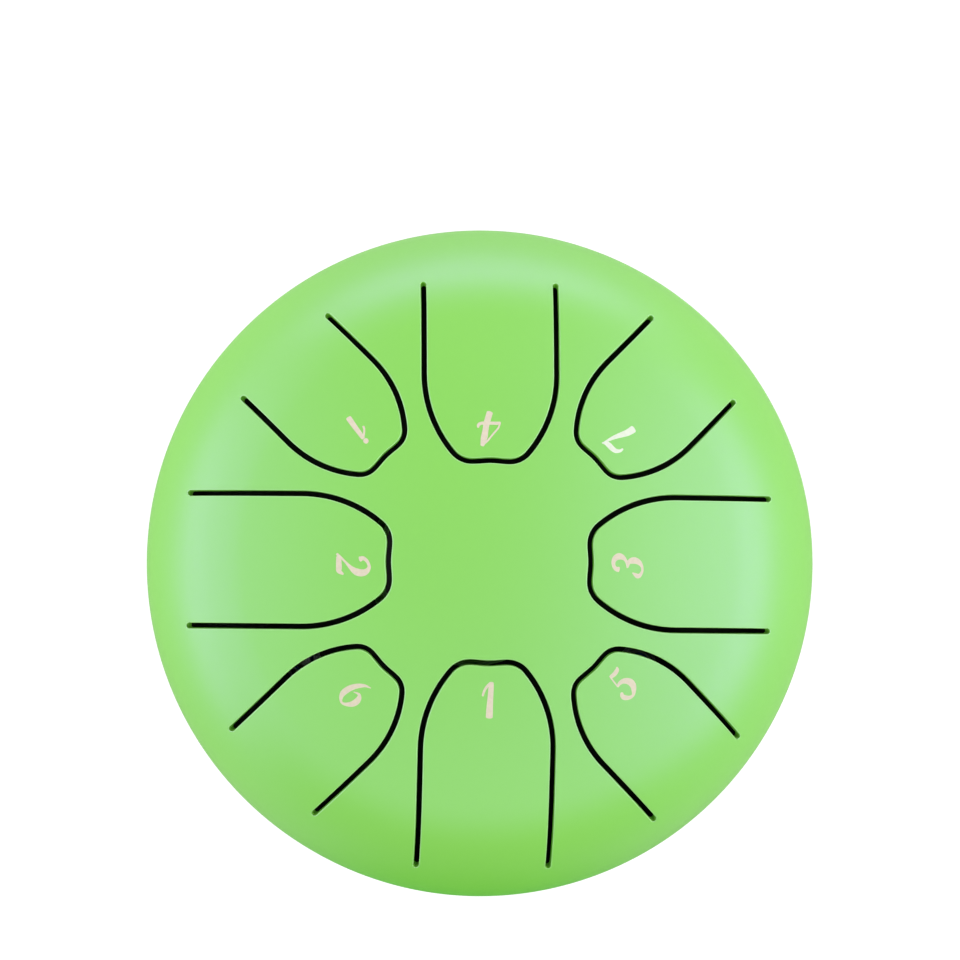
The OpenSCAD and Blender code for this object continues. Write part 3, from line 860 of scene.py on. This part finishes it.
def at_foot(points, angle):
    """Points about a foot's own axis, set at its place on the base."""
    a = math.radians(angle)
    plan = turned(points[:, :2] + (FOOT_RING, 0), a)
    return np.column_stack([plan, points[:, 2]])


foot_points, foot_faces = closed_lathe(foot_profile, FOOT_STEPS)
for name, angle in zip(("foot_back", "foot_left", "foot_right"), FEET):
    foot = piece_of(name + "_rubber", [(at_foot(foot_points, angle), foot_faces)], [rubber])
    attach(foot, "drum")
    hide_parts(name)


# Inserts and washers
# Stamped steel rings with tumbled edges, bright zinc plated: one in each foot's recess spreads the load of
# the screw's head, and one inside the base lies under the nut.
zinc_grey = (0.36, 0.375, 0.4)
zinc = plain_finish("bright_zinc", zinc_grey, depth=0.12, grain=260, bump=0.12, roughness=0.42, metallic=1)
RING_STEPS = 72
RING_IN, RING_OUT, RING_EDGE = 2.2, 4.5, 0.12


def ring_of(low, high):
    """A flat ring with rounded edges, from one height to the other."""
    e = RING_EDGE
    section = np.vstack([
        arc((RING_OUT - e, low + e), e, -90, 0, 3), arc((RING_OUT - e, high - e), e, 0, 90, 3),
        arc((RING_IN + e, high - e), e, 90, 180, 3), arc((RING_IN + e, low + e), e, 180, 270, 3),
    ])
    return closed_lathe(section, RING_STEPS)


def hardware(name, node, sheets, materials=(zinc,)):
    """Three copies of one small part, one at each foot, as one piece."""
    placed = [(at_foot(s[0], angle), *s[1:]) for angle in FEET for s in sheets]
    made = piece_of(name, placed, list(materials))
    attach(made, "drum")
    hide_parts(node)


INSERT_LOW, WASHER_LOW, WASHER_TOP = 5.5, FOOT_H + WALL, FOOT_H + WALL + 0.8
hardware("insert_rings", "foot_inserts", [ring_of(INSERT_LOW, RECESS_H)])
hardware("washer_rings", "foot_washers", [ring_of(WASHER_LOW, WASHER_TOP)])


# Screws
# M4 steel pan heads with a tapered cross recess, cold-formed, their threads rolled and the whole zinc plated.
# Each holds a foot: it goes up through the insert, the rubber and the base's pad, into a nut inside.
HEAD_R, HEAD_H, SCREW_LEN, THREAD_R, THREAD_DEPTH, PITCH = 4, 2.4, 12, 2, 0.3, 0.7
CROSS_L, CROSS_W, CROSS_DEPTH = 2.2, 0.45, 1.4
HEAD_EDGE, HEAD_CHAMFER = 1.1, 0.15
FACE_R = 2.5                         # a ring on the head's face, round the cross
END_R, TAPER_R = 1.3, 1.4            # radii at the thread's end: of its flat, and of the taper round it
PITCH_STEPS = 8
arm = math.degrees(math.atan(CROSS_W / CROSS_L))
eighth = np.array([0, arm / 2, arm, 16, 22, 30, 38])
quarter = np.unique(np.concatenate([eighth, [45], 90 - eighth[1:]]))
cross_a = np.radians(np.concatenate([quarter + 90 * k for k in range(4)]))
fold = np.abs((np.degrees(cross_a) + 45) % 90 - 45)
cross_r = np.minimum(CROSS_L / np.cos(np.radians(fold)), CROSS_W / np.sin(np.maximum(np.radians(fold), 1e-6)))


def turned_ring(radius, z, a=cross_a):
    """A ring of points at the cross's angles or at others. Its radius may vary round it."""
    return np.column_stack([radius * np.cos(a), radius * np.sin(a), np.full(len(a), z)])


head_low = INSERT_LOW - HEAD_H
head = [
    (FACE_R, head_low), *arc((HEAD_R - HEAD_EDGE, head_low + HEAD_EDGE), HEAD_EDGE, 270, 360, 8),
    (HEAD_R, INSERT_LOW - HEAD_CHAMFER), (HEAD_R - HEAD_CHAMFER, INSERT_LOW), (THREAD_R, INSERT_LOW),
]
# the share of the cross's outline, and how deep in the head it lies
cross_steps = ((0.55, CROSS_DEPTH), (0.8, CROSS_DEPTH - 0.25), (0.96, 0.08), (1.0, 0.0))
screw_rings = [turned_ring(1e-3, head_low + CROSS_DEPTH)]
screw_rings += [turned_ring(cross_r * share, head_low + deep) for share, deep in cross_steps]
screw_rings += [turned_ring(r, z) for r, z in head]
thread_top = INSERT_LOW + SCREW_LEN
for z in np.arange(INSERT_LOW + 0.1, thread_top, PITCH / PITCH_STEPS):
    phase = (z / PITCH - cross_a / (2 * math.pi)) % 1
    ridge = THREAD_R - THREAD_DEPTH * np.abs(2 * phase - 1)
    screw_rings.append(turned_ring(np.minimum(ridge, TAPER_R + (thread_top - z)), z))
screw_rings.append(turned_ring(END_R, thread_top))
screw_rings.append(turned_ring(1e-3, thread_top))
hardware("pan_head_screws", "foot_screws", [sheet_of(screw_rings)])


# Lock nuts
# M4 hexagon nuts of zinc plated steel, with a nylon ring held in a turned-in collar. The ring grips the
# screw's thread, so that the feet don't work loose while the drum is played.
nylon = plain_finish("nylon", (0.05, 0.16, 0.42), depth=0.1, grain=800, bump=0.15, roughness=0.4)
NUT_W, NUT_H, COLLAR_R, COLLAR_RISE, NYLON_R = 7, 3.2, 3.5, 1.8, 1.95
nut_a = np.radians(np.arange(0, 360, 5))
nut_fold = np.abs((np.degrees(nut_a) + 30) % 60 - 30)
hexagon = NUT_W / 2 / np.cos(np.radians(nut_fold))
nut_low, nut_top = WASHER_TOP, WASHER_TOP + NUT_H
collar_end = nut_top + COLLAR_RISE
bore_r, nylon_r = THREAD_R + 0.05, NYLON_R + 0.12
FACE_BACK, CONE_SPREAD = 0.05, 1.7   # how far inside the flats the cone starts, and how fast it widens
# the hexagon's corners are turned off towards both faces, by a cone over these depths
cone = (0.0, 0.15, 0.3, 0.45)
levels = [(d, nut_low + d) for d in cone] + [(d, nut_top - d) for d in cone[::-1]]
mouth_r = COLLAR_R - 1.0
mouth = (mouth_r, collar_end - 0.3)
nylon_foot = (nylon_r, nut_top + 0.1)
body = [
    (bore_r, nut_low), (bore_r + 0.35, nut_low),
    *[(np.minimum(hexagon, NUT_W / 2 + deep * CONE_SPREAD - FACE_BACK), z) for deep, z in levels],
    (COLLAR_R - 0.1, nut_top), (COLLAR_R - 0.1, nut_top + 1.1),
    *arc((COLLAR_R - 0.7, collar_end - 0.6), 0.6, 0, 90, 5), (mouth_r, collar_end), mouth,
]
nylon_ring = [mouth, (NYLON_R + 0.2, collar_end - 0.3), (nylon_r, collar_end - 0.5), nylon_foot]
bore = [nylon_foot, (bore_r, nut_top - 0.1), (bore_r, nut_low)]
nut = [
    (*sheet_of([turned_ring(r, z, nut_a) for r, z in profile]), finish)
    for profile, finish in ((body, 0), (nylon_ring, 1), (bore, 0))
]
hardware("lock_nuts", "foot_nuts", nut, (zinc, nylon))
